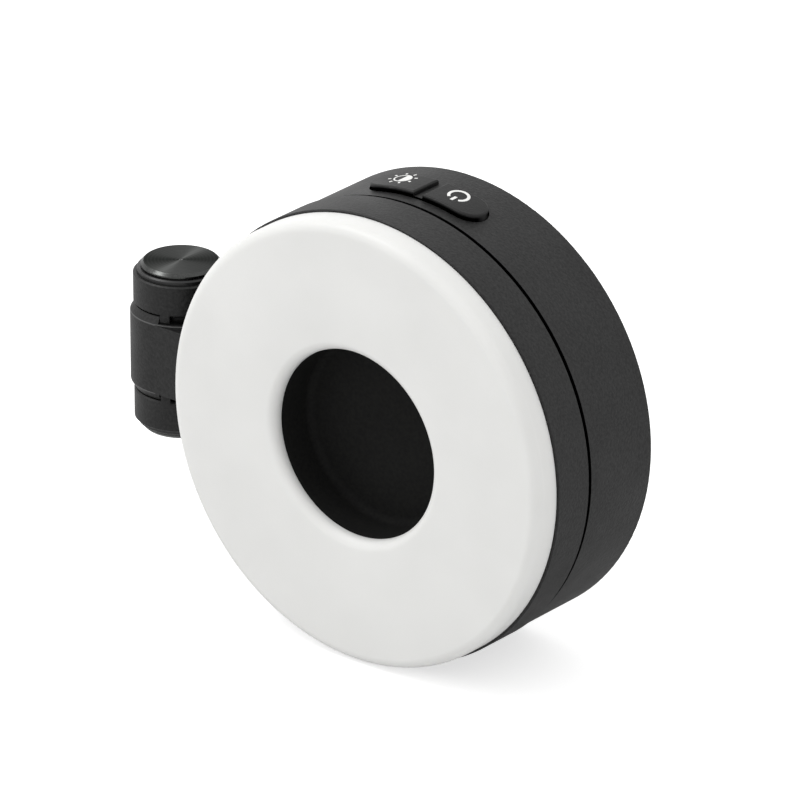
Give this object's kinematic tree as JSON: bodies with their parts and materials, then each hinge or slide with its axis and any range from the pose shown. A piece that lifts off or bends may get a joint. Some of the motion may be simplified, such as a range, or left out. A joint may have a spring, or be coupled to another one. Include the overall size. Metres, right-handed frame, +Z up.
{
  "type": "clip-on selfie ring light",
  "caption": "Round clip-on ring light with an opal ring around a dark blind recess, keys on its crown and a sprung clip arm on a side barrel hinge.",
  "frame": {"origin": "centre of the rear grip pad's face, where the clamped phone lies", "axes": "+Z up through the keys, -Y the way the light shines, +Y out of the pad towards the clip arm, hinge at -X"},
  "size_m": [0.0827, 0.0299, 0.0671],
  "materials": {
    "black_shell": "fine satin moulded ABS",
    "opal_diffuser": "smooth satin opal polycarbonate",
    "recess_black": "dark satin moulded",
    "white_reflector": "gloss white moulded",
    "circuit_board": "solder-masked glass epoxy",
    "led_phosphor": "phosphor-filled silicone",
    "chip_epoxy": "moulded epoxy",
    "port_steel": "nickel-plated pressed steel",
    "battery_foil": "laminated pouch foil",
    "lead_sleeve": "red silicone wire sleeve",
    "ribbon_film": "amber polyimide film",
    "foam_tape": "closed-cell foam tape",
    "key_rubber": "matt silicone rubber",
    "plunger_plastic": "natural acetal",
    "black_screws": "black oxide steel",
    "grip_rubber": "soft ribbed silicone",
    "black_hinge": "fine satin moulded nylon",
    "bush_acetal": "natural acetal",
    "spring_steel": "drawn spring wire",
    "pin_steel": "ground steel",
    "collar_black": "satin moulded",
    "spun_cap": "dark anodised, spun face with a bright chamfer"
  },
  "bodies": {
    "light_head": {"front_shell": "black_shell", "rear_shell": "black_shell", "diffuser": "opal_diffuser", "centre_cup": "recess_black", "reflector": "white_reflector", "led_board": "circuit_board", "led_chips": "led_phosphor", "main_board": "circuit_board", "driver_chips": "chip_epoxy", "charge_port": "port_steel", "battery": "battery_foil", "battery_pad": "foam_tape", "battery_leads": "lead_sleeve", "board_header": "chip_epoxy", "key_ribbon": "ribbon_film", "button_board": "circuit_board", "tact_switches": "chip_epoxy", "key_divider": "key_rubber", "case_screws": "black_screws", "rear_pad": "grip_rubber", "hinge_sleeve": "black_hinge", "hinge_bushes": "bush_acetal", "torsion_spring": "spring_steel"},
    "clip_arm": {"clip_arm": "black_hinge", "arm_pad": "grip_rubber", "hinge_pin": "pin_steel", "upper_collar": "collar_black", "lower_collar": "collar_black", "upper_cap": "spun_cap", "lower_cap": "spun_cap"},
    "brightness_key": {"brightness_key": "key_rubber", "brightness_plunger": "plunger_plastic"},
    "power_key": {"power_key": "key_rubber", "power_plunger": "plunger_plastic"}
  },
  "joints": [
    {"name": "clip_hinge", "type": "hinge", "parent": "light_head", "child": "clip_arm", "pos_m": [-0.0422, -0.01285, 0], "axis": [0, 0, 1], "range_deg": [0, 75], "stiffness_Nm_per_rad": 0.1, "springref_deg": -68.75, "deforming": ["torsion_spring"]},
    {"name": "brightness_press", "type": "slide", "parent": "light_head", "child": "brightness_key", "axis": [0, 0, -1], "range_m": [0, 0.0005], "stiffness_N_per_m": 3000, "springref_m": -0.0002},
    {"name": "power_press", "type": "slide", "parent": "light_head", "child": "power_key", "axis": [0, 0, -1], "range_m": [0, 0.0005], "stiffness_N_per_m": 3000, "springref_m": -0.0002}
  ]
}
